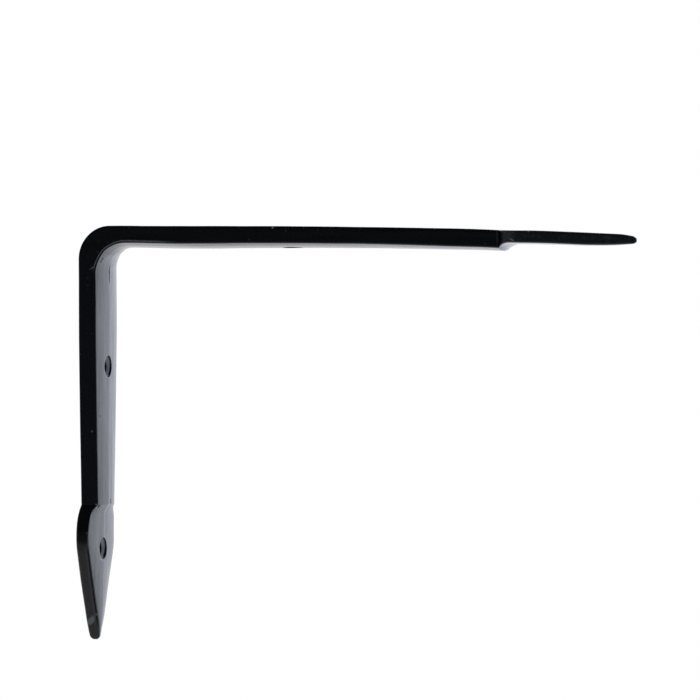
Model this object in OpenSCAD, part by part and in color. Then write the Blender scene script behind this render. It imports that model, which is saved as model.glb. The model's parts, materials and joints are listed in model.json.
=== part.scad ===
// Forged steel shelf bracket, one solid, in millimetres.
// A flat bar is bent to a right angle. One side, the leg, lies on the wall and runs down
// from the corner. The other, the arm, runs out under the shelf. Each end is hammered
// to a thinner, wider leaf with a point, and each side has two countersunk screw holes.
// +X points away from the wall along the arm, +Z points up, and Y runs across the bar.
// The wall lies in the plane X = 0 and the shelf's underside in the plane Z = 0.

/* [Bar] */
// Height of the bracket, from the shelf down to the tip of the leg
leg_len = 123; // [105:0.5:250]
// Reach of the bracket, from the wall out to the tip of the arm
arm_len = 167; // [125:0.5:350]
// Width of the bar at the corner
bar_w = 20; // [16:0.5:26]
// Thickness of the bar along its long edges
bar_t = 5.1; // [4:0.1:7]
// Rise of the inner face in the middle of the bar
bar_crown = 0.8; // [0:0.05:1.2]
// Radius of the hammered long edges
edge_r = 0.9; // [0.3:0.05:1.2]

/* [Corner] */
// Radius of the corner where wall and shelf meet
bend_outer_r = 10.3; // [6:0.1:16]
// Radius of the hollow inside the corner
bend_inner_r = 8; // [4:0.1:14]

/* [Taper] */
// Width of the bar where it meets its leaf
neck_w = 15.2; // [11:0.1:16]
// Distance from the corner to the start of the taper
taper_start = 28; // [20:0.5:34]
// How late the taper bites: 1 is a straight taper
taper_curve = 1.3; // [1:0.05:2]

/* [Leaf] */
// Length of the leaf on the leg
leg_leaf_len = 40.5; // [34:0.5:50]
// Length of the leaf on the arm
arm_leaf_len = 39; // [34:0.5:50]
// Width of a leaf across its round shoulders
leaf_w = 24.2; // [20:0.1:28]
// Thickness of a leaf along its edges
leaf_t = 3.4; // [2.6:0.1:3.8]
// Thickness of a leaf at the end of its point
tip_t = 2.2; // [1.5:0.1:2.5]
// Length over which the point thins
tip_run = 14; // [8:0.5:18]
// Radius at the end of the point
tip_r = 0.8; // [0.5:0.05:1.5]
// Rise of the leaf's inner face in its middle
leaf_crown = 0.6; // [0:0.05:1]
// Radius of the hollow between the bar and its leaf
hollow_r = 5; // [3:0.1:8]

/* [Screw holes] */
// Bore of each hole
bore_d = 4.2; // [3:0.1:5]
// Rim of each countersink
sink_d = 6.4; // [5.5:0.1:8]
// Depth of the straight land under the rim
sink_land = 0.45; // [0.2:0.05:0.8]
// Height of the hole in the leg's bar, down from the shelf
leg_hole = 41.2; // [30:0.2:50]
// Place of the hole in the arm's bar, out from the wall
arm_hole = 64; // [35:0.5:70]
// Place of the hole in a leaf, past the end of the bar
leaf_hole = 13.2; // [10:0.1:16]

/* [Hidden] */
bore_fn = 48;
// Points on each rounded edge and across half of the crowned face
edge_steps = 3;
crown_steps = 3;
// Cross-sections along each stretch of the bar
bend_steps = 10;
root_steps = 4;
strap_steps = 5;
leaf_steps = 17;
tip_steps = 3;

// The leaf's outline is a circle for the shoulders, two straight sides and a small
// circle for the point. Places along it are measured from the end of the bar.
leaf_r = leaf_w / 2;
shoulder_at = sqrt(pow(leaf_r, 2) - pow(neck_w / 2, 2));
function point_at(len) = len - tip_r;
function side_angle(len) = asin((leaf_r - tip_r) / (point_at(len) - shoulder_at));
function leaf_half(u, len) =
    let (a = side_angle(len), joins = shoulder_at + leaf_r * sin(a))
    u < joins ? sqrt(pow(leaf_r, 2) - pow(u - shoulder_at, 2))
    : u < point_at(len) + tip_r * sin(a) ? leaf_r * cos(a) - (u - joins) * tan(a)
    : sqrt(max(0, pow(tip_r, 2) - pow(u - point_at(len), 2)));

// The hollow is an arc that meets the leaf's face smoothly and ends at the bar's face.
hollow_len = sqrt(pow(hollow_r, 2) - pow(hollow_r - bar_t + leaf_t, 2));
function hollow_rise(u) = u >= hollow_len ? 0 : hollow_r - sqrt(pow(hollow_r, 2) - pow(hollow_len - u, 2));
function thinning(u, len) = (leaf_t - tip_t) * pow(max(0, u - len + tip_run) / tip_run, 2);
function leaf_thick(u, len) = leaf_t + hollow_rise(u) - thinning(u, len);
function leaf_rise(u) = leaf_crown + (bar_crown - leaf_crown) * hollow_rise(u) / (bar_t - leaf_t);

// Width and thickness of the bar at a distance s from the corner
function strap_half(s, neck) =
    let (k = max(0, s - taper_start) / (neck - taper_start))
    (bar_w - (bar_w - neck_w) * pow(k, taper_curve)) / 2;

// The inside of the corner is found along the inward normal n of a point p, both [x, z].
bend_in = bar_t + bend_inner_r;
function hollow_reach(p, n) =
    let (o = p - [bend_in, -bend_in], b = o * n, q = b * b - o * o + pow(bend_inner_r, 2))
    q <= 0 ? 0 : let (d = -b - sqrt(q), hit = p + d * n) hit[0] <= bend_in && hit[1] >= -bend_in ? d : 0;
function leg_reach(p, n) = n[0] < 0.01 ? 0 : (bar_t - p[0]) / n[0];
function arm_reach(p, n) = n[1] > -0.01 ? 0 : (-bar_t - p[1]) / n[1];
function bar_thick(p, n) = max(leg_reach(p, n), arm_reach(p, n), hollow_reach(p, n));

// One cross-section is [place, inward normal, half width, edge thickness, rise].
function leg_place(s) = [[0, -s], [1, 0]];
function arm_place(s) = [[s, 0], [0, -1]];
function bend_place(a) = [bend_outer_r * [1 - cos(a), sin(a) - 1], [cos(a), -sin(a)]];
function strap_cut(at, s, neck) = [at[0], at[1], strap_half(s, neck), bar_thick(at[0], at[1]), bar_crown];
function leaf_cut(at, u, len) = [at[0], at[1], leaf_half(u, len), leaf_thick(u, len), leaf_rise(u)];

// Distances of the cross-sections, all from the corner outwards
bend_ends = max(bend_outer_r, bend_in);
function strap_places(neck) = concat(
    [for (k = [1 : root_steps]) if (bend_ends > bend_outer_r)
        bend_outer_r + (bend_ends - bend_outer_r) * k / root_steps],
    [for (k = [1 : strap_steps]) bend_ends + (neck - bend_ends) * k / (strap_steps + 1)]);
function leaf_places(len) = concat(
    [for (k = [0 : leaf_steps]) point_at(len) * pow(k / leaf_steps, 1.5)],
    [for (k = [1 : tip_steps]) point_at(len) + tip_r * sin(80 * k / tip_steps)]);
function reversed(list) = [for (i = [len(list) - 1 : -1 : 0]) list[i]];

leg_neck = leg_len - leg_leaf_len;
arm_neck = arm_len - arm_leaf_len;
cuts = concat(
    [for (u = reversed(leaf_places(leg_leaf_len))) leaf_cut(leg_place(leg_neck + u), u, leg_leaf_len)],
    [for (s = reversed(strap_places(leg_neck))) strap_cut(leg_place(s), s, leg_neck)],
    [for (k = [0 : bend_steps]) strap_cut(bend_place(90 * k / bend_steps), 0, arm_neck)],
    [for (s = strap_places(arm_neck)) strap_cut(arm_place(s), s, arm_neck)],
    [for (u = leaf_places(arm_leaf_len)) leaf_cut(arm_place(arm_neck + u), u, arm_leaf_len)]);

// Outline of one cross-section as [across, inward], with rounded edges and a crowned face
function corner(y, d, r, from) =
    [for (k = [0 : edge_steps]) let (a = from + 90 * k / edge_steps) [y + r * cos(a), d + r * sin(a)]];
function outline(cut) =
    let (h = cut[2], t = cut[3], r = min(edge_r, 0.45 * h, 0.4 * t), flat = h - r)
    concat(
        corner(-flat, r, r, 180), corner(flat, r, r, 270), corner(flat, t - r, r, 0),
        [for (k = [1 - crown_steps : crown_steps - 1])
            let (y = -flat * k / crown_steps) [y, t + cut[4] * (1 - pow(y / flat, 2))]],
        corner(-flat, t - r, r, 90));
function ring(cut) = [for (q = outline(cut))
    let (p = cut[0] + q[1] * cut[1]) [p[0], q[0], p[1]]];

module bar() {
    rings = [for (cut = cuts) ring(cut)];
    n = len(rings[0]);
    last = (len(rings) - 1) * n;
    polyhedron(
        points = [for (r = rings) each r],
        faces = concat(
            [[for (i = [0 : n - 1]) i]],
            [for (i = [0 : n : last - n], j = [0 : n - 1]) [i + j, i + j + n, i + (j + 1) % n]],
            [for (i = [0 : n : last - n], j = [0 : n - 1]) [i + (j + 1) % n, i + j + n, i + n + (j + 1) % n]],
            [[for (i = [n - 1 : -1 : 0]) last + i]]));
}

// A countersunk hole through a wall of thickness t, entered from the inner side at z = t
module screw_hole(t) {
    translate([0, 0, -1]) cylinder(d = bore_d, h = t + 2, $fn = bore_fn);
    cone_h = (sink_d - bore_d) / 2;
    translate([0, 0, t - sink_land - cone_h]) cylinder(d1 = bore_d, d2 = sink_d, h = cone_h, $fn = bore_fn);
    translate([0, 0, t - sink_land]) cylinder(d = sink_d, h = sink_land + 1, $fn = bore_fn);
}

module leg_holes() {
    rotate([0, 90, 0]) {
        translate([leg_hole, 0, 0]) screw_hole(bar_t + bar_crown);
        translate([leg_neck + leaf_hole, 0, 0]) screw_hole(leaf_t + leaf_crown);
    }
}

module arm_holes() {
    rotate([180, 0, 0]) {
        translate([arm_hole, 0, 0]) screw_hole(bar_t + bar_crown);
        translate([arm_neck + leaf_hole, 0, 0]) screw_hole(leaf_t + leaf_crown);
    }
}

module bracket() {
    color([0.06, 0.06, 0.065])
        difference() {
            bar();
            leg_holes();
            arm_holes();
        }
}

bracket();
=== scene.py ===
import json
import math

import bmesh
import bpy
from mathutils import Matrix, Vector, noise


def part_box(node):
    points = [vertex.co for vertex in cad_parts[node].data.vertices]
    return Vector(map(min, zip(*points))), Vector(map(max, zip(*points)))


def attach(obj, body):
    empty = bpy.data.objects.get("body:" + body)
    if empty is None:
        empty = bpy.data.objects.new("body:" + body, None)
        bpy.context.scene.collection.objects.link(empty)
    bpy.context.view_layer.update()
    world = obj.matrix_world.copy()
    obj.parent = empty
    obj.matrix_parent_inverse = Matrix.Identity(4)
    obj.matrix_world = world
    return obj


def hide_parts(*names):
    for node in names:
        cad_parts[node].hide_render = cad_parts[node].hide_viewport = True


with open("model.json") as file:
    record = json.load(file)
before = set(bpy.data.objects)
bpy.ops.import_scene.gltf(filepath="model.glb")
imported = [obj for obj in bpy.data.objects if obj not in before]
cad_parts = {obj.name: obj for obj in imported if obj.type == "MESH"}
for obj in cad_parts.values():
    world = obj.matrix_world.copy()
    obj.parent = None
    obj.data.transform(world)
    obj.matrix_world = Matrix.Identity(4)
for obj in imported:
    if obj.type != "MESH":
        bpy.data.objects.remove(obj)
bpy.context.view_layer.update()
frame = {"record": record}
mm = 0.001
low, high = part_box("bracket")
mounts = {m["name"]: m for m in frame["record"]["mounts"]}
print("frame loaded")

# The flat bar and the corner it is bent to
bar = dict(width=19.7 * mm, neckWidth=15.2 * mm, thickness=5.05 * mm, edgeRadius=0.6 * mm,
           legExtra=0.3 * mm, legExtraRun=25 * mm, armExtra=0.25 * mm, armExtraFrom=95 * mm,
           armExtraRun=25 * mm, armSwellAt=36 * mm, armSwellSpread=17 * mm,
           legSkew=0.12 * mm, armSkew=0, legBulge=0.16 * mm, armBulge=0.05 * mm,
           cornerCrown=1.0 * mm, neckCrown=0.7 * mm, legCrown=0.6 * mm, legCrownRun=30 * mm,
           armCrownFrom=50 * mm, armCrownRun=70 * mm, taperStart=28 * mm, taperCurve=1.3,
           outerRadius=9.6 * mm, innerRadius=8.15 * mm, innerSkew=1.45 * mm, hollowEnd=14 * mm,
           endRound=1.5 * mm, legNotch=0.05 * mm, armNotch=0.5 * mm, legLength=-low.z, armLength=high.x)
# The hammered ends
leaf = dict(legLength=40.5 * mm, armLength=39 * mm, width=high.y - low.y - 0.1 * mm, thickness=3.5 * mm,
            legExtra=0.3 * mm, armExtra=0.1 * mm, lowerExtra=0.15 * mm, lowerFrom=8 * mm, lowerRun=8 * mm,
            legTip=2.9 * mm, legTipRun=8 * mm, armTip=2.5 * mm, armTipRun=16 * mm, tipLift=0.7 * mm,
            tipLiftRun=6 * mm, tipRadius=0.8 * mm, tipRound=1.2 * mm, tipFlat=0.88,
            legCrown=0.6 * mm, armCrown=0.25 * mm, hollowRadius=5 * mm,
            legEdge=0.95 * mm, armEdge=0.65 * mm, edgeFrom=2 * mm, edgeRun=8 * mm,
            backShoulder=1.1 * mm, shoulderAt=3.2 * mm, shoulderSpread=2.2 * mm,
            backExtra=0.35 * mm, backFrom=8 * mm, backRun=10 * mm, backFade=4 * mm)
# How far the hand-worked bar strays from a true square, as slopes and as waves of place, spread and
# height in millimetres, and how uneven the hammer left its faces
forging = dict(armDrop=-0.0188, armBow=0.188, legLean=0.012,
               leafTwist=0.032, twistStart=95 * mm, twistEnd=132 * mm,
               armWaves=((9, 14, 0.42), (30, 24, 0.1), (118, 14, -0.03),
                         (131, 7, -0.2), (151, 12, -0.05), (162, 8, -0.08)),
               legWaves=((106, 13, -0.27), (121, 8, -0.1)), cornerFade=30 * mm, legOnly=20 * mm,
               cornerSharp=0.55, cornerSpread=11 * mm,
               hammer=0.045 * mm, sideHammer=0.05 * mm, broadSize=(11 * mm, 9 * mm, 20 * mm),
               smallSize=(4 * mm, 3 * mm, 5 * mm), edgeWander=0.12 * mm, wanderLength=16 * mm)
# The countersunk screw holes. On part of the countersink a lighter paint stands in for light falling on the
# cone (painted light), given as shares of its width
screwHole = dict(bore=4.2 * mm, rim=6.4 * mm, land=0.45 * mm, lip=0.12 * mm, paintedLightFrom=0.13, paintedLightTo=0.77,
                 clear=2 * mm, collar=1 * mm, collarLift=0.15 * mm, steps=72)

arcLength = bar["outerRadius"] * math.pi / 2


def smooth(k):
    k = max(0, min(1, k))
    return k * k * (3 - 2 * k)


def neckAt(side):
    return bar[side + "Length"] - leaf[side + "Length"]


def strapHalf(side, s):
    neck = neckAt(side)
    k = max(0, s - bar["taperStart"]) / (neck - bar["taperStart"])
    half = (bar["width"] - (bar["width"] - bar["neckWidth"]) * k ** bar["taperCurve"]) / 2
    e = max(0, s - neck + bar["endRound"]) / bar["endRound"]
    return half - bar[side + "Notch"] * (1 - math.sqrt(max(0, 1 - e * e)))


# A round shoulder, straight sides and a small round point
def leafHalf(side, u):
    r, tip = leaf["width"] / 2, leaf["tipRadius"]
    centre = math.sqrt(r ** 2 - (bar["neckWidth"] / 2) ** 2)
    point = leaf[side + "Length"] - tip
    slant = math.asin((r - tip) / (point - centre))
    if u < centre + r * math.sin(slant):
        half = math.sqrt(r ** 2 - (u - centre) ** 2)
    elif u < point + tip * math.sin(slant):
        half = r * math.cos(slant) - (u - centre - r * math.sin(slant)) * math.tan(slant)
    else:
        half = math.sqrt(max(1e-10, tip ** 2 - (u - point) ** 2))
    return half - bar[side + "Notch"] * max(0, 1 - u / bar["endRound"]) ** 2


# Thickness along the edges and rise in the middle, past the hollow between bar and leaf
def leafSection(side, u):
    r, step = leaf["hollowRadius"], bar["thickness"] - leaf["thickness"]
    run = math.sqrt(r ** 2 - (r - step) ** 2)
    rise = 0 if u >= run else r - math.sqrt(r ** 2 - (run - u) ** 2)
    thin = max(0, u - leaf[side + "Length"] + leaf[side + "TipRun"]) / leaf[side + "TipRun"]
    thickness = leaf["thickness"] + rise - (leaf["thickness"] - leaf[side + "Tip"]) * thin ** 2
    thickness += leaf[side + "Extra"]
    if side == "leg":
        thickness += leaf["lowerExtra"] * smooth((u - leaf["lowerFrom"]) / leaf["lowerRun"])
    crown = leaf[side + "Crown"]
    barCrown = bar["legCrown"] if side == "leg" else bar["neckCrown"]
    return thickness, crown + (barCrown - crown) * rise / step


# Depth of the bar at the corner, from a point on its outside along the inward normal
def barDepth(point, inward, r):
    t = bar["thickness"]
    toLeg = (t - point.x) / inward.x if inward.x > 0.01 else 0
    toArm = (-t - point.y) / inward.y if inward.y < -0.01 else 0
    offset = point - Vector((t + r, -t - r))
    along = offset.dot(inward)
    q = along ** 2 - offset.dot(offset) + r ** 2
    toHollow = 0
    if q > 0:
        reach = -along - math.sqrt(q)
        hit = point + reach * inward
        toHollow = reach if hit.x <= t + r and hit.y >= -t - r else 0
    return max(toLeg, toArm, toHollow)


# How much deeper the bar is inside the corner, where the hollow is tighter at the back
def hollowExtra(s, place, inward, y):
    if s > bar["hollowEnd"]:
        return 0
    skewed = bar["innerRadius"] - bar["innerSkew"] * y / (bar["width"] / 2)
    return barDepth(place, inward, skewed) - bar["thickness"]


# Where a point p along the straight bar lies once it is bent: side, distance from the corner,
# place on the outside and inward normal, the last two in the XZ plane
def bentPlace(p):
    side, r = "arm" if p > 0 else "leg", bar["outerRadius"]
    if abs(p) >= arcLength / 2:
        s = abs(p) - arcLength / 2 + r
        if side == "arm":
            return side, s, Vector((s, 0)), Vector((0, -1))
        return side, s, Vector((0, -s)), Vector((1, 0))
    a = (p + arcLength / 2) / r
    inward = Vector((math.cos(a), -math.sin(a)))
    return side, abs(p) * 2 * r / arcLength, Vector((r, -r)) - r * inward, inward


# Half width, edge thickness and rise at a point along the bar
def sectionAt(side, s):
    if s > neckAt(side):
        u = s - neckAt(side)
        return leafHalf(side, u), *leafSection(side, u)
    if side == "leg":
        extra = bar["legExtra"] * smooth(s / bar["legExtraRun"])
        flatter = smooth(s / bar["legCrownRun"])
        crown = bar["cornerCrown"] + (bar["legCrown"] - bar["cornerCrown"]) * flatter
    else:
        swell = math.exp(-((s - bar["armSwellAt"]) / bar["armSwellSpread"]) ** 2)
        extra = bar["armExtra"] * (smooth((s - bar["armExtraFrom"]) / bar["armExtraRun"]) + swell)
        flatter = smooth((s - bar["armCrownFrom"]) / bar["armCrownRun"])
        crown = bar["cornerCrown"] + (bar["neckCrown"] - bar["cornerCrown"]) * flatter
    return strapHalf(side, s), bar["thickness"] + extra, crown


def stationsAlong(side):
    neck, end, start = neckAt(side), bar[side + "Length"], bar["outerRadius"]
    out = [start + (neck - bar["endRound"] - start) * k / 90 for k in range(1, 91)]
    out += [neck - bar["endRound"] * math.cos(k * math.pi / 14) for k in range(1, 8)]
    tip = end - leaf["tipRadius"]
    shares = [0.3 * k / 70 + 0.35 * (1 - math.cos(math.pi * k / 70)) for k in range(1, 71)]
    out += [neck + (tip - neck) * share for share in shares]
    out += [tip + leaf["tipRadius"] * math.sin(k * math.pi / 2 / 7.3) for k in range(1, 8)]
    return [s - start + arcLength / 2 for s in out]


# Moves a point of the straight, even bar to its place on the bent, hammered bar
def forge(co, p, side, s, place, inward, half, thickness, rise):
    past = s - neckAt(side)
    if side == "leg" and co.y > 0:
        half += leaf["backShoulder"] * math.exp(-((past - leaf["shoulderAt"]) / leaf["shoulderSpread"]) ** 2)
        fuller = leaf["backExtra"] * smooth((past - leaf["backFrom"]) / leaf["backRun"])
        half += fuller * min(1, half / leaf["backFade"])
    corner = forging["cornerSharp"] * math.exp(-(p / forging["cornerSpread"]) ** 2)
    onLeaf = smooth((past - leaf["edgeFrom"]) / leaf["edgeRun"])
    radius = bar["edgeRadius"] * (1 - corner) + (leaf[side + "Edge"] - bar["edgeRadius"]) * onLeaf
    r = min(radius, 0.45 * half, 0.4 * thickness)
    full, flat0 = bar["edgeRadius"], bar["width"] / 2 - bar["edgeRadius"]
    across, flat, depth = abs(co.y), half - r, co.z
    wander = noise.noise(Vector((p / forging["wanderLength"], 3 if co.y > 0 else 9, 0)))
    wander *= forging["edgeWander"] * min(1, half / (4 * mm))
    if across <= flat0:
        y = across * flat / flat0
    else:
        y = flat + (across - flat0) * r / full + wander * (across - flat0) / full
    thickness += hollowExtra(s, place, inward, co.y) - bar[side + "Skew"] * co.y / (bar["width"] / 2)
    if depth > bar["thickness"] - full - 1e-7:
        k = (bar["thickness"] - depth) / full
        u = max(0, min(1, (1 + y / flat) / 1.3))
        raised = rise * max(0, 1 - (y / flat) ** 2) + bar[side + "Bulge"] * 6.75 * u * (1 - u) ** 2
        d = thickness - k * r + raised * max(0, 1 - k) * min(1, flat / (7 * mm))
    elif depth > full:
        d = r + (thickness - 2 * r) * (depth - full) / (bar["thickness"] - 2 * full)
    else:
        d = depth * r / full
    y = math.copysign(y, co.y) if across > 1e-9 else 0
    a, b, c = forging["broadSize"]
    broad = noise.noise(Vector((p / a, y / b, d / c)))
    a, b, c = forging["smallSize"]
    small = noise.noise(Vector((p / a, y / b, d / c + 7)))
    inner = depth / bar["thickness"] * 2 - 1
    d += forging["hammer"] * (broad + 0.35 * small) * inner
    y += forging["sideHammer"] * (broad + 0.5 * small) * max(-1, min(1, y / flat)) * (1 - abs(inner))
    # The point is rounded off all round
    e = max(0, s - bar[side + "Length"] + leaf["tipRound"]) / leaf["tipRound"]
    d = thickness / 2 + (d - thickness / 2) * math.sqrt(1 - leaf["tipFlat"] * min(1, e * e))
    lift = max(0, s - bar[side + "Length"] + leaf["tipLiftRun"]) / leaf["tipLiftRun"]
    d += leaf["tipLift"] * lift * lift * max(0, 1 - d / thickness)
    return Vector((place.x + inward.x * d, y, place.y + inward.y * d))


def makeBar():
    bm = bmesh.new()
    w, t = bar["width"], bar["thickness"]
    bmesh.ops.create_grid(bm, x_segments=1, y_segments=1, size=0.5,
                          matrix=Matrix(((0, 0, 1, 0), (w, 0, 0, 0), (0, t, 0, t / 2), (0, 0, 0, 1))))
    bmesh.ops.bevel(bm, geom=bm.verts[:], offset=bar["edgeRadius"], offset_type="OFFSET", segments=5,
                    profile=0.5, affect="VERTICES", material=-1)
    wide = [e for e in bm.edges if e.calc_length() > 0.5 * w]
    tall = [e for e in bm.edges if 0.5 * t < e.calc_length() < 0.5 * w]
    bmesh.ops.bisect_edges(bm, edges=wide, cuts=25)
    bmesh.ops.bisect_edges(bm, edges=tall, cuts=7)
    stations = sorted([-p for p in stationsAlong("leg")] + stationsAlong("arm")
                      + [arcLength * (k / 24 - 0.5) for k in range(25)])
    cap = bm.faces[:][0]
    bmesh.ops.translate(bm, verts=bm.verts[:], vec=(stations[0], 0, 0))
    rings = [(stations[0], cap.verts[:])]
    for before, p in zip(stations, stations[1:]):
        made = bmesh.ops.extrude_face_region(bm, geom=[cap])
        if before > stations[0]:
            bmesh.ops.delete(bm, geom=[cap], context="FACES_ONLY")
        cap = next(g for g in made["geom"] if isinstance(g, bmesh.types.BMFace))
        bmesh.ops.translate(bm, verts=cap.verts[:], vec=(p - before, 0, 0))
        rings.append((p, cap.verts[:]))
    for p, verts in rings:
        side, s, place, inward = bentPlace(p)
        section = sectionAt(side, s)
        for v in verts:
            v.co = forge(v.co, p, side, s, place, inward, *section)
    bmesh.ops.recalc_face_normals(bm, faces=bm.faces[:])
    mesh = bpy.data.meshes.new("forgedBar")
    bm.to_mesh(mesh)
    bm.free()
    piece = bpy.data.objects.new("forgedBar", mesh)
    bpy.context.scene.collection.objects.link(piece)
    return piece


# Each hole is a turned cutter: bore, countersink, straight land and a softened lip
def makeHoleCutter(places):
    bm = bmesh.new()
    boreR, rimR, lip = screwHole["bore"] / 2, screwHole["rim"] / 2, screwHole["lip"]
    paintedLightFrom, paintedLightTo, clear = screwHole["paintedLightFrom"], screwHole["paintedLightTo"], screwHole["clear"]
    for top, matrix in places:
        shoulder = top - screwHole["land"]
        cone = rimR - boreR
        outline = [(0, -clear), (boreR, -clear)]
        outline += [(boreR + k * cone, shoulder - (1 - k) * cone) for k in (0, paintedLightFrom, paintedLightTo, 1)]
        outline += [(rimR + lip * (1 - math.cos(a)), top - lip * (1 - math.sin(a)))
                    for a in (k * math.pi / 10 for k in range(6))]
        outer = rimR + lip + screwHole["collar"]
        outline += [(outer, top + screwHole["collarLift"]), (outer, top + clear), (0, top + clear)]
        verts = [bm.verts.new((r, 0, d)) for r, d in outline]
        edges = [bm.edges.new(pair) for pair in zip(verts, verts[1:])]
        oldFaces, oldVerts = set(bm.faces), set(bm.verts) - set(verts)
        bmesh.ops.spin(bm, geom=verts + edges, cent=(0, 0, 0), axis=(0, 0, 1), angle=2 * math.pi,
                       steps=screwHole["steps"], use_merge=True)
        # Faces on the middle band of the countersink take the second material, a paint lightened as painted
        # light on the cone; bore and land stay black
        for f in set(bm.faces) - oldFaces:
            centre = f.calc_center_median()
            k = (math.hypot(centre.x, centre.y) - boreR) / cone
            f.material_index = 1 if paintedLightFrom < k < paintedLightTo else 0
        bmesh.ops.transform(bm, matrix=matrix, verts=list(set(bm.verts) - oldVerts))
    bmesh.ops.remove_doubles(bm, verts=bm.verts[:], dist=1e-6)
    bmesh.ops.recalc_face_normals(bm, faces=bm.faces[:])
    mesh = bpy.data.meshes.new("holeCutter")
    bm.to_mesh(mesh)
    bm.free()
    cutter = bpy.data.objects.new("holeCutter", mesh)
    bpy.context.scene.collection.objects.link(cutter)
    return cutter


def holePlaces():
    wall, shelf = mounts["wall_screws"], mounts["shelf_screws"]
    out = []
    for sign in (-1, 1):
        s = -wall["pos_m"][2] + sign * wall["dims"]["spacing_y_mm"] * mm / 2
        half, thickness, rise = sectionAt("leg", s)
        out.append((thickness + rise, Matrix(((0, 0, 1, 0), (0, 1, 0, 0), (-1, 0, 0, -s), (0, 0, 0, 1)))))
        s = shelf["pos_m"][0] + sign * shelf["dims"]["spacing_x_mm"] * mm / 2
        half, thickness, rise = sectionAt("arm", s)
        out.append((thickness + rise, Matrix(((1, 0, 0, s), (0, -1, 0, 0), (0, 0, -1, 0), (0, 0, 0, 1)))))
    return out


# Place along the straight bar and depth under its outside
def unbend(x, z):
    r = bar["outerRadius"]
    if x <= r and z >= -r:
        return math.atan2(z + r, r - x) * r - arcLength / 2, r - math.hypot(x - r, z + r)
    return (z + r - arcLength / 2, x) if -z > x else (x - r + arcLength / 2, -z)


# alongBar runs along and around the bar, so that streaks follow it, and byEdge holds the distance
# from the inner edge, less than zero down the side, with 0 at the front and 1 at the back
def unwrapBar(mesh):
    along, byEdge = mesh.uv_layers.new(name="alongBar"), mesh.uv_layers.new(name="byEdge")
    for face in mesh.polygons:
        x, y, z = face.center
        inward = bentPlace(unbend(x, z)[0])[3]
        outside = face.normal.x * inward.x + face.normal.z * inward.y < -0.7
        sign = -1 if y < 0 else 1
        for i in face.loop_indices:
            x, y, z = mesh.vertices[mesh.loops[i].vertex_index].co
            p, depth = unbend(x, z)
            side, s, place, inward = bentPlace(p)
            half, thickness, rise = sectionAt(side, s)
            thickness += hollowExtra(s, place, inward, y) - bar[side + "Skew"] * y / (bar["width"] / 2)
            down = max(0, thickness - depth)
            along.data[i].uv = (p, sign * (40 * mm - abs(y) if outside else abs(y) + down))
            inFrom = abs(y) - half - down if outside else half - abs(y) - down
            byEdge.data[i].uv = (inFrom, 0 if sign < 0 else 1)


# Welds the thinnest slivers that cutting leaves round the holes
def weldSlivers(mesh, weld=0.012 * mm, flat=0.001 * mm):
    bm = bmesh.new()
    bm.from_mesh(mesh)
    bmesh.ops.remove_doubles(bm, verts=bm.verts[:], dist=weld)
    bmesh.ops.dissolve_degenerate(bm, edges=bm.edges[:], dist=flat)
    bm.to_mesh(mesh)
    bm.free()


def waves(table, s):
    return sum(height * mm * math.exp(-((s / mm - place) / spread) ** 2) for place, spread, height in table)


# The small lean, bow and twist of a bar bent by eye
def settle(mesh):
    f = forging
    for v in mesh.vertices:
        x, y, z = v.co
        twist = f["leafTwist"] * smooth((x - f["twistStart"]) / (f["twistEnd"] - f["twistStart"]))
        rise = waves(f["armWaves"], x) * smooth(1 + z / f["cornerFade"])
        rise += twist * (y + leaf["width"] / 2) - f["armDrop"] * x - f["armBow"] * x * x
        lean = f["legLean"] * max(0, -z) + (waves(f["legWaves"], -z) if x < f["legOnly"] else 0)
        v.co = (x + lean, y, z + rise)


piece = makeBar()
cutter = makeHoleCutter(holePlaces())
cut = piece.modifiers.new("holes", "BOOLEAN")
cut.operation, cut.solver, cut.material_mode, cut.object = "DIFFERENCE", "EXACT", "INDEX", cutter
blackPaint, countersinkLightPaint = (bpy.data.materials.new(n) for n in ("blackPaint", "countersinkLightPaint"))
for m in (blackPaint, countersinkLightPaint):
    piece.data.materials.append(m)
    cutter.data.materials.append(m)
finished = bpy.data.meshes.new_from_object(piece.evaluated_get(bpy.context.evaluated_depsgraph_get()))
piece.modifiers.clear()
piece.data = finished
bpy.data.objects.remove(cutter)
weldSlivers(finished)
unwrapBar(finished)
settle(finished)
finished.shade_smooth()
sharpFrom = math.radians(38)
finished.set_sharp_from_angle(angle=sharpFrom)
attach(piece, "root")
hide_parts("bracket")
print("bar forged:", len(finished.polygons), "faces")

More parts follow.
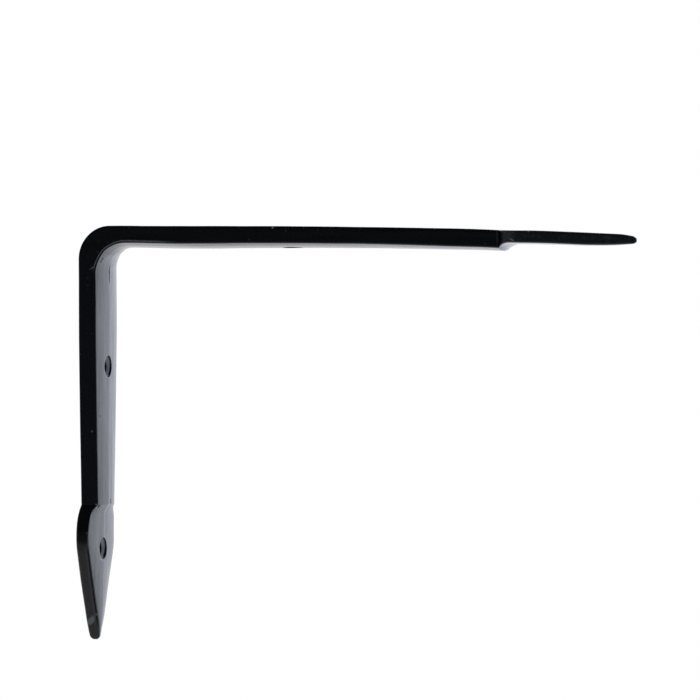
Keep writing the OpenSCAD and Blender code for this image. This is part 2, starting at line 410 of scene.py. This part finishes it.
# The paint: nearly black and satin, with painted light, a lighter bluer colour, on part of each countersink.
# A mark is its place along and around the bar, half length, half width in millimetres, turn in degrees and
# strength
paint = dict(black=(0.0012, 0.0018, 0.0028), wornAndHighlight=(0.095, 0.1, 0.11), roughness=0.2,
             # thin and the two after it are the countersink band's colours: lighter and bluer as painted
             # light on the cone, not thinner paint
             thin=(0.17, 0.18, 0.225), countersinkLightWorn=(0.24, 0.24, 0.26), countersinkLightRoughness=0.5,
             slits=((-11.7, 0.4, 3.0, 0.38, 0, 1), (-7.4, -7.5, 1.3, 0.32, 8, 0.9),
                    (-79.4, 2.2, 0.9, 0.25, 0, 1), (-80.9, -6.4, 0.4, 0.6, 0, 1),
                    (-54, -6.5, 0.4, 0.3, 0, 0.6)),
             # The marks at 17, 23.5 and 125.6 mm along are painted highlights, light lines along the front
             # edge past the bend and across the side at the end of the arm's strap; the rest are scrapes and
             # specks
             scrapesAndGlints=((-10.3, -11.1, 0.8, 0.22, 58, 0.5), (-58.5, -10.2, 0.25, 0.25, 0, 0.5),
                      (-115.2, -5.1, 1.5, 1.05, 15, 0.65), (-80.2, -8, 0.3, 0.35, 0, 0.8),
                      (-81, -7, 0.3, 0.3, 0, 0.6), (125.6, -10.3, 0.25, 2.4, 0, 0.16),
                      (130.8, -12, 0.9, 0.3, 8, 0.6), (58.4, -13.9, 0.35, 0.3, 0, 1),
                      (135.7, -15.4, 0.5, 0.35, 0, 1), (17, -9.9, 3, 0.14, 3, 0.3),
                      (23.5, -10, 2.2, 0.16, -3, 0.3)))
# The forged grain: how fine and how deep each part of it is, and where the raised line with its painted
# highlight, the painted edge highlight and the crease lie, from the inner edge and along the bar. A span is
# where one begins and is full
forged = dict(peelScale=1700.0, dentScale=150.0, grainScale=900.0, streakScale=(32.0, 420.0, 1.0),
              scratchScale=(140.0, 4200.0, 1.0), raggedScale=1100.0, raggedBy=0.8 * mm, speckScale=620.0,
              peelDepth=0.02 * mm, dentDepth=0.2 * mm, streakDepth=0.1 * mm, grainDepth=0.12 * mm,
              markDepth=0.15 * mm, burrInset=0.65 * mm, burrHalf=0.25 * mm, burrTop=0.08 * mm, burrRiseAndHighlight=0.6,
              burrStart=(-11.5 * mm, -9 * mm), burrEnd=(30 * mm, 20 * mm), edgeHighlightStrength=0.12,
              edgeHighlightOuter=(-1.4 * mm, -1.0 * mm), edgeHighlightInner=(-0.45 * mm, -0.7 * mm),
              creaseInset=0.1 * mm, creaseHalf=0.42 * mm, creaseTop=0.2 * mm,
              legPatch=0.1, armPatch=0.09, armBare=0.04)


def nodesOf(owner):
    owner.use_nodes = True
    owner.node_tree.nodes.clear()
    return owner.node_tree


# Adds a node, sets its properties and unlinked inputs, and joins the rest
def add(tree, kind, inputs=None, **values):
    node = tree.nodes.new("ShaderNode" + kind)
    for key, value in values.items():
        setattr(node, key, value)
    for key, value in (inputs or {}).items():
        if isinstance(value, bpy.types.NodeSocket):
            tree.links.new(value, node.inputs[key])
        else:
            node.inputs[key].default_value = value
    return node


def maths(tree, operation, *values):
    return add(tree, "Math", dict(enumerate(values)), operation=operation).outputs[0]


def ramp(tree, value, fromMin, fromMax, toMin=0.0, toMax=1.0, kind="SMOOTHSTEP"):
    return add(tree, "MapRange", {"Value": value, "From Min": fromMin, "From Max": fromMax, "To Min": toMin,
                                  "To Max": toMax}, interpolation_type=kind).outputs[0]


# An oval mark on the unwrapped bar, at its full strength inside and fading out round it
def mark(tree, uv, place, around, halfLength, halfWidth, turn, strength):
    moved = add(tree, "Mapping", {"Vector": uv, "Location": (place * mm, around * mm, 0),
                                  "Rotation": (0, 0, math.radians(turn)),
                                  "Scale": (halfLength * mm, halfWidth * mm, 1)}, vector_type="TEXTURE")
    far = add(tree, "VectorMath", {0: moved.outputs[0]}, operation="LENGTH").outputs["Value"]
    return ramp(tree, far, 1.25, 0.6, 0.0, strength)


def total(tree, values):
    out = values[0]
    for value in values[1:]:
        out = maths(tree, "MAXIMUM", out, value)
    return out


# Grain of hand-forged, painted steel, with masks and a normal as outputs
def makeForgedGrain():
    tree = bpy.data.node_groups.new("forgedGrain", "ShaderNodeTree")
    for name, value in (("Peel", 0.3), ("Dents", 0.4), ("Streaks", 0.5), ("Grain", 0.5)):
        tree.interface.new_socket(name, in_out="INPUT", socket_type="NodeSocketFloat").default_value = value
    outputs = (("WearAndHighlights", "Float"), ("Slits", "Float"), ("Roughness Shift", "Float"), ("Normal", "Vector"))
    for name, kind in outputs:
        tree.interface.new_socket(name, in_out="OUTPUT", socket_type="NodeSocket" + kind)
    given = tree.nodes.new("NodeGroupInput").outputs
    shape = add(tree, "TexCoord").outputs["Object"]
    uv = add(tree, "UVMap", uv_map="alongBar").outputs[0]
    edge = add(tree, "SeparateXYZ", {0: add(tree, "UVMap", uv_map="byEdge").outputs[0]})
    place = add(tree, "SeparateXYZ", {0: uv}).outputs["X"]

    neckLeg = -(neckAt("leg") - bar["outerRadius"] + arcLength / 2)
    neckArm = neckAt("arm") - bar["outerRadius"] + arcLength / 2
    onLegLeaf = ramp(tree, place, neckLeg - 4 * mm, neckLeg - 12 * mm)
    onArmLeaf = ramp(tree, place, neckArm + 1 * mm, neckArm + 5 * mm)
    onLeaf = maths(tree, "MAXIMUM", onLegLeaf, onArmLeaf)

    peel = add(tree, "TexNoise", {"Vector": shape, "Scale": forged["peelScale"],
                                  "Detail": 2.0}).outputs["Fac"]
    dents = add(tree, "TexNoise", {"Vector": shape, "Scale": forged["dentScale"],
                                   "Detail": 1.0}).outputs["Fac"]
    grain = add(tree, "TexNoise", {"Vector": shape, "Scale": forged["grainScale"], "Detail": 3.0,
                                   "Roughness": 0.65}).outputs["Fac"]
    drawn = add(tree, "Mapping", {"Vector": uv, "Scale": forged["streakScale"]}).outputs[0]
    streaks = add(tree, "TexNoise", {"Vector": drawn, "Scale": 1.0, "Detail": 3.0}).outputs["Fac"]
    fine = add(tree, "Mapping", {"Vector": uv, "Scale": forged["scratchScale"]}).outputs[0]
    fine = add(tree, "TexNoise", {"Vector": fine, "Scale": 1.0, "Detail": 1.0}).outputs["Fac"]
    scratches = ramp(tree, fine, 0.66, 0.74)

    shaken = add(tree, "TexNoise", {"Vector": shape, "Scale": forged["raggedScale"],
                                    "Detail": 2.0}).outputs["Color"]
    shaken = add(tree, "VectorMath", {0: shaken, 1: (0.5, 0.5, 0.5)}, operation="SUBTRACT").outputs[0]
    by = forged["raggedBy"]
    ragged = add(tree, "VectorMath", {0: shaken, 1: (by, by, 0), 2: uv}, operation="MULTIPLY_ADD").outputs[0]
    slits = total(tree, [mark(tree, ragged, *m) for m in paint["slits"]])
    # Scrapes and specks, with a few marks that are painted highlights
    scrapesAndGlints = total(tree, [mark(tree, ragged, *m) for m in paint["scrapesAndGlints"]])

    # A raised line left along the front edge where the bar is bent, whose lighter colour is a painted
    # highlight, and a painted highlight band just down the side from the front edge of the leg's leaf
    front = ramp(tree, edge.outputs["Y"], 0.6, 0.4)
    bend = maths(tree, "MULTIPLY", ramp(tree, place, *forged["burrStart"]),
                 ramp(tree, place, *forged["burrEnd"]))
    line = maths(tree, "ABSOLUTE", maths(tree, "ADD", edge.outputs["X"], forged["burrInset"]))
    # The raised line is both a bump and a painted highlight: the same mask lightens the paint toward the
    # worn colour
    raisedLineAndHighlight = ramp(tree, line, forged["burrHalf"], forged["burrTop"], 0.0, forged["burrRiseAndHighlight"])
    raisedLineAndHighlight = maths(tree, "MULTIPLY", maths(tree, "MULTIPLY", raisedLineAndHighlight, bend), front)
    alongLeaf = maths(tree, "MULTIPLY", ramp(tree, place, neckLeg - 10 * mm, neckLeg - 15 * mm),
                      ramp(tree, place, neckLeg - 38 * mm, neckLeg - 34 * mm))
    # A band just down the side from the leaf's front edge, painted lighter as the highlight of its rounded
    # edge
    band = maths(tree, "MULTIPLY", ramp(tree, edge.outputs["X"], *forged["edgeHighlightOuter"]),
                 ramp(tree, edge.outputs["X"], *forged["edgeHighlightInner"]))
    edgeHighlight = maths(tree, "MULTIPLY", maths(tree, "MULTIPLY", band, alongLeaf), front)
    edgeHighlight = maths(tree, "MULTIPLY", edgeHighlight, forged["edgeHighlightStrength"])
    crease = maths(tree, "ABSOLUTE", maths(tree, "ADD", edge.outputs["X"], forged["creaseInset"]))
    crease = ramp(tree, crease, forged["creaseHalf"], forged["creaseTop"])
    crease = maths(tree, "MULTIPLY", maths(tree, "MULTIPLY", crease, alongLeaf), front)

    # Bare specks, most of them on the hammered ends
    spots = add(tree, "TexVoronoi", {"Vector": shape, "Scale": forged["speckScale"], "Randomness": 1.0})
    rare = ramp(tree, add(tree, "SeparateColor", {0: spots.outputs["Color"]}).outputs[0], 0.84, 0.94)
    dots = maths(tree, "MULTIPLY", ramp(tree, spots.outputs["Distance"], 0.32, 0.18), rare)
    specks = maths(tree, "MULTIPLY", dots, maths(tree, "ADD", maths(tree, "MULTIPLY", onLeaf, 0.5), 0.06))

    patches = ramp(tree, grain, 0.5, 0.75)
    legWear = maths(tree, "MULTIPLY", maths(tree, "MULTIPLY", patches, onLegLeaf), forged["legPatch"])
    armWear = maths(tree, "MULTIPLY_ADD", patches, forged["armPatch"], forged["armBare"])
    armWear = maths(tree, "MULTIPLY", armWear, onArmLeaf)
    # Bare specks, scrapes and patches are wear; the raised line's lightening, the edge band and some marks
    # are painted highlights in the same colour
    wearAndHighlights = total(tree, [raisedLineAndHighlight, scrapesAndGlints, specks, legWear, armWear, edgeHighlight])
    shift = maths(tree, "ADD", maths(tree, "MULTIPLY", maths(tree, "SUBTRACT", streaks, 0.5), 0.12),
                  maths(tree, "MULTIPLY", scratches, 0.05))

    height = maths(tree, "MULTIPLY", maths(tree, "SUBTRACT", slits, raisedLineAndHighlight), -1.0)
    height = maths(tree, "SUBTRACT", height, maths(tree, "MULTIPLY", scratches, 0.04))
    normal = add(tree, "Bump", {"Strength": 0.8, "Distance": forged["markDepth"],
                                "Height": height}).outputs[0]
    layers = ((given["Dents"], "dentDepth", dents), (given["Streaks"], "streakDepth", streaks),
              (given["Peel"], "peelDepth", peel))
    for strength, depth, source in layers:
        normal = add(tree, "Bump", {"Strength": strength, "Distance": forged[depth], "Height": source,
                                    "Normal": normal}).outputs[0]
    leafGrain = maths(tree, "MULTIPLY", given["Grain"], onLeaf)
    normal = add(tree, "Bump", {"Strength": leafGrain, "Distance": forged["grainDepth"], "Height": grain,
                                "Normal": normal}).outputs[0]

    out = tree.nodes.new("NodeGroupOutput")
    for name, value in (("WearAndHighlights", wearAndHighlights), ("Slits", maths(tree, "MAXIMUM", slits, crease)),
                        ("Roughness Shift", shift), ("Normal", normal)):
        tree.links.new(value, out.inputs[name])
    return tree


def finishPaint(material, grain, base, wornAndHighlight, roughness, **amounts):
    tree = nodesOf(material)
    node = tree.nodes.new("ShaderNodeGroup")
    node.node_tree = grain
    for name, value in amounts.items():
        node.inputs[name].default_value = value
    # Mixes toward the worn colour where the paint is bare and where highlights are painted
    colour = add(tree, "Mix", {"Factor": node.outputs["WearAndHighlights"], "A": (*base, 1), "B": (*wornAndHighlight, 1)},
                 data_type="RGBA")
    rough = maths(tree, "ADD", roughness, node.outputs["Roughness Shift"])
    rough = add(tree, "Mix", {"Factor": node.outputs["Slits"], "A": rough, "B": 0.95}).outputs[0]
    shader = add(tree, "BsdfPrincipled", {"Base Color": colour.outputs[2], "Roughness": rough, "IOR": 1.52,
                                          "Normal": node.outputs["Normal"]})
    add(tree, "OutputMaterial", {"Surface": shader.outputs[0]})


grain = makeForgedGrain()
finishPaint(blackPaint, grain, paint["black"], paint["wornAndHighlight"], paint["roughness"], Peel=0.25, Dents=0.35,
            Streaks=1.0, Grain=0.5)
# The countersink band: a lighter, bluer colour painted as light falling on the cone
finishPaint(countersinkLightPaint, grain, paint["thin"], paint["countersinkLightWorn"], paint["countersinkLightRoughness"], Peel=0.3, Dents=0.3,
            Streaks=0.4, Grain=0.3)
print("paint finished")

# White to the camera. In the paint's reflections it is dark in front of the bracket, so that faces
# turned that way stay black. A span is where a glow begins and where it is full
studio = dict(fill=0.55, dark=0.005, backGlow=1.45, backSpan=(0.25, 0.92), frontGlow=0.07,
              frontSpan=(0.25, -0.05), leftGlow=0.3, leftSpan=(-0.6, -1.0),
              left=(0.88, 0.87, 0.9), right=(0.99, 1.035, 1.17), tintSpan=(-0.3, 0.15),
              floorDrop=200 * mm, floorMiddle=0.08, floorSize=6, floorColour=(0.82, 0.82, 0.82),
              underGlow=0.95, underSpan=(-0.42, 0.2), farGlow=1.35, farSpan=(0.1, 0.7),
              middle=(0.05, 0, -0.05), whiteSpan=(0.25, 0.65), lampSize=0.9, lampPower=7,
              lampAim=(0.07, 0, -0.05), softboxLeft=(-0.7, -0.5, 0.9), softboxBack=(0.5, 0.9, 0.8))
view = dict(stand=(0.3575, -0.9612, -0.0443), aim=(0.08174, 0, -0.03559), roll=0.62, lens=175.1, sensor=36,
            clipEnd=50)


def lightPath(tree, name):
    return add(tree, "LightPath").outputs[name]


# What shows in the paint, from a direction and a strength: bluer and brighter to the right
def makeStudioGlow():
    tree = bpy.data.node_groups.new("studioGlow", "ShaderNodeTree")
    tree.interface.new_socket("Direction", in_out="INPUT", socket_type="NodeSocketVector")
    tree.interface.new_socket("Strength", in_out="INPUT", socket_type="NodeSocketFloat")
    tree.interface.new_socket("Colour", in_out="OUTPUT", socket_type="NodeSocketColor")
    given = tree.nodes.new("NodeGroupInput").outputs
    x = add(tree, "SeparateXYZ", {0: given["Direction"]}).outputs["X"]
    tint = add(tree, "Mix", {"Factor": ramp(tree, x, *studio["tintSpan"]), "A": (*studio["left"], 1),
                             "B": (*studio["right"], 1)}, data_type="RGBA").outputs[2]
    lit = add(tree, "VectorMath", {0: tint, "Scale": given["Strength"]}, operation="SCALE").outputs[0]
    out = tree.nodes.new("NodeGroupOutput")
    tree.links.new(lit, out.inputs["Colour"])
    return tree


studioGlow = makeStudioGlow()
world = bpy.data.worlds.new("studio")
bpy.context.scene.world = world
tree = nodesOf(world)
way = add(tree, "TexCoord").outputs["Generated"]
axes = add(tree, "SeparateXYZ", {0: way}).outputs
back = total(tree, [ramp(tree, axes["Y"], *studio["backSpan"], studio["dark"], studio["backGlow"]),
                    ramp(tree, axes["Z"], *studio["frontSpan"], 0.0, studio["frontGlow"]),
                    ramp(tree, axes["X"], *studio["leftSpan"], 0.0, studio["leftGlow"])])
glow = add(tree, "Group", {"Direction": way, "Strength": back}, node_tree=studioGlow).outputs[0]
lit = add(tree, "Background", {"Color": (1, 1, 1, 1), "Strength": studio["fill"]}).outputs[0]
seen = add(tree, "Background", {"Color": (1, 1, 1, 1), "Strength": 1.0}).outputs[0]
mirrored = add(tree, "Background", {"Color": glow, "Strength": 1.0}).outputs[0]
mixed = add(tree, "MixShader", {0: lightPath(tree, "Is Glossy Ray"), 1: lit, 2: mirrored}).outputs[0]
mixed = add(tree, "MixShader", {0: lightPath(tree, "Is Camera Ray"), 1: mixed, 2: seen}).outputs[0]
add(tree, "OutputWorld", {"Surface": mixed})

bm = bmesh.new()
under = Matrix.Translation((studio["floorMiddle"], 0, -studio["floorDrop"]))
bmesh.ops.create_grid(bm, x_segments=1, y_segments=1, size=studio["floorSize"], matrix=under)
floorMesh = bpy.data.meshes.new("floor")
bm.to_mesh(floorMesh)
bm.free()
floor = bpy.data.objects.new("floor", floorMesh)
bpy.context.scene.collection.objects.link(floor)
floorPaint = bpy.data.materials.new("floorPaint")
floorMesh.materials.append(floorPaint)
tree = nodesOf(floorPaint)
spot = add(tree, "TexCoord").outputs["Object"]
toSpot = add(tree, "VectorMath", {0: spot, 1: studio["middle"]}, operation="SUBTRACT").outputs[0]
reach = add(tree, "VectorMath", {0: toSpot}, operation="LENGTH").outputs["Value"]
matt = add(tree, "BsdfDiffuse", {"Color": (*studio["floorColour"], 1)}).outputs[0]
white = add(tree, "Emission", {"Color": (1, 1, 1, 1), "Strength": 1.0}).outputs[0]
depth = add(tree, "SeparateXYZ", {0: spot}).outputs["Y"]
nearer = ramp(tree, depth, *studio["underSpan"], studio["frontGlow"], studio["underGlow"])
further = ramp(tree, depth, *studio["farSpan"], 0, studio["farGlow"] - studio["underGlow"])
strength = maths(tree, "ADD", nearer, further)
toward = add(tree, "VectorMath", {0: toSpot}, operation="NORMALIZE").outputs[0]
glow = add(tree, "Group", {"Direction": toward, "Strength": strength}, node_tree=studioGlow).outputs[0]
shining = add(tree, "Emission", {"Color": glow, "Strength": 1.0}).outputs[0]
seen = add(tree, "MixShader", {0: ramp(tree, reach, *studio["whiteSpan"]), 1: matt, 2: white}).outputs[0]
mixed = add(tree, "MixShader", {0: lightPath(tree, "Is Camera Ray"), 1: matt, 2: seen}).outputs[0]
mixed = add(tree, "MixShader", {0: lightPath(tree, "Is Glossy Ray"), 1: mixed, 2: shining}).outputs[0]
# Seen from below, the floor gives way to the bracket
below = add(tree, "NewGeometry").outputs["Backfacing"]
clear = add(tree, "BsdfTransparent").outputs[0]
hidden = maths(tree, "MULTIPLY", below, lightPath(tree, "Is Camera Ray"))
mixed = add(tree, "MixShader", {0: hidden, 1: mixed, 2: clear}).outputs[0]
add(tree, "OutputMaterial", {"Surface": mixed})

for name in ("softboxLeft", "softboxBack"):
    place = Vector(studio[name])
    lamp = bpy.data.lights.new(name, "AREA")
    lamp.shape, lamp.size, lamp.energy = "SQUARE", studio["lampSize"], studio["lampPower"]
    box = bpy.data.objects.new(name, lamp)
    box.location = place
    box.rotation_euler = (Vector(studio["lampAim"]) - place).to_track_quat("-Z", "Y").to_euler()
    box.visible_glossy = False
    bpy.context.scene.collection.objects.link(box)
bpy.context.scene.view_settings.view_transform = "Standard"

camera = bpy.data.objects.new("camera", bpy.data.cameras.new("camera"))
bpy.context.scene.collection.objects.link(camera)
stand = Vector(view["stand"])
camera.location = stand
camera.rotation_euler = ((Vector(view["aim"]) - stand).to_track_quat("-Z", "Y").to_matrix()
                         @ Matrix.Rotation(math.radians(view["roll"]), 3, "Z")).to_euler()
camera.data.lens = view["lens"]
camera.data.sensor_width = view["sensor"]
camera.data.clip_end = view["clipEnd"]
bpy.context.scene.camera = camera
print("studio ready")
